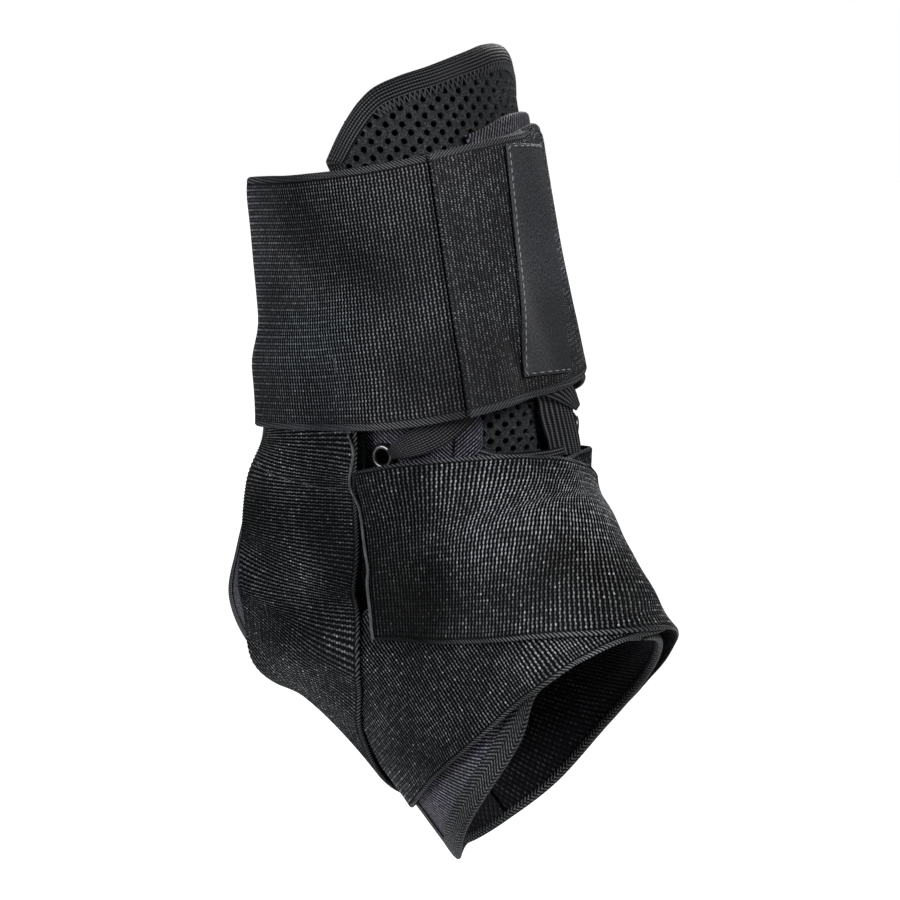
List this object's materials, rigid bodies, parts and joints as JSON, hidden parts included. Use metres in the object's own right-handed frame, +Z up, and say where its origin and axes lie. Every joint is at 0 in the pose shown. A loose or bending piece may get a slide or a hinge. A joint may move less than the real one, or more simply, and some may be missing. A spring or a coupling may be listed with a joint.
{
  "type": "lace-up ankle brace",
  "caption": "Lace-up ankle brace in its worn form: boot of cloth panels round an open hollow, padded tongue, figure-of-eight elastic straps and a wide closing cuff.",
  "frame": {"origin": "centre of the ankle inside the brace, level with the ankle bones", "axes": "+Z up along the leg, +X towards the toes, -Y towards the outer side of the foot that the picture shows"},
  "size_m": [0.1654, 0.0979, 0.2661],
  "materials": {
    "spacer_mesh": "open spacer mesh over foam",
    "knit_binding": "knitted edge binding",
    "boot_fabric": "coarse twill, matt",
    "heel_fabric": "smooth dark satin cloth",
    "eyelet": "glossy black",
    "loop_pile": "brushed loop pile",
    "lace": "flat woven lace",
    "webbing": "ribbed elastic webbing",
    "elastic": "ribbed wide elastic",
    "satin_patch": "smooth satin, plain"
  },
  "bodies": {
    "root": {"tongue": "spacer_mesh", "tongue_binding": "knit_binding", "boot_panel_outer": "boot_fabric", "boot_panel_inner": "boot_fabric", "heel_panel": "heel_fabric", "eyelet_outer": "eyelet", "eyelet_inner": "eyelet", "gap_binding_outer": "knit_binding", "gap_binding_inner": "knit_binding", "rim_binding": "knit_binding", "loop_panel_outer": "loop_pile", "loop_panel_inner": "loop_pile", "lace_outer": "lace", "strap_under": "webbing", "strap_over": "webbing", "cuff_elastic": "elastic", "cuff_tab": "elastic", "closure_patch": "satin_patch"}
  },
  "joints": []
}
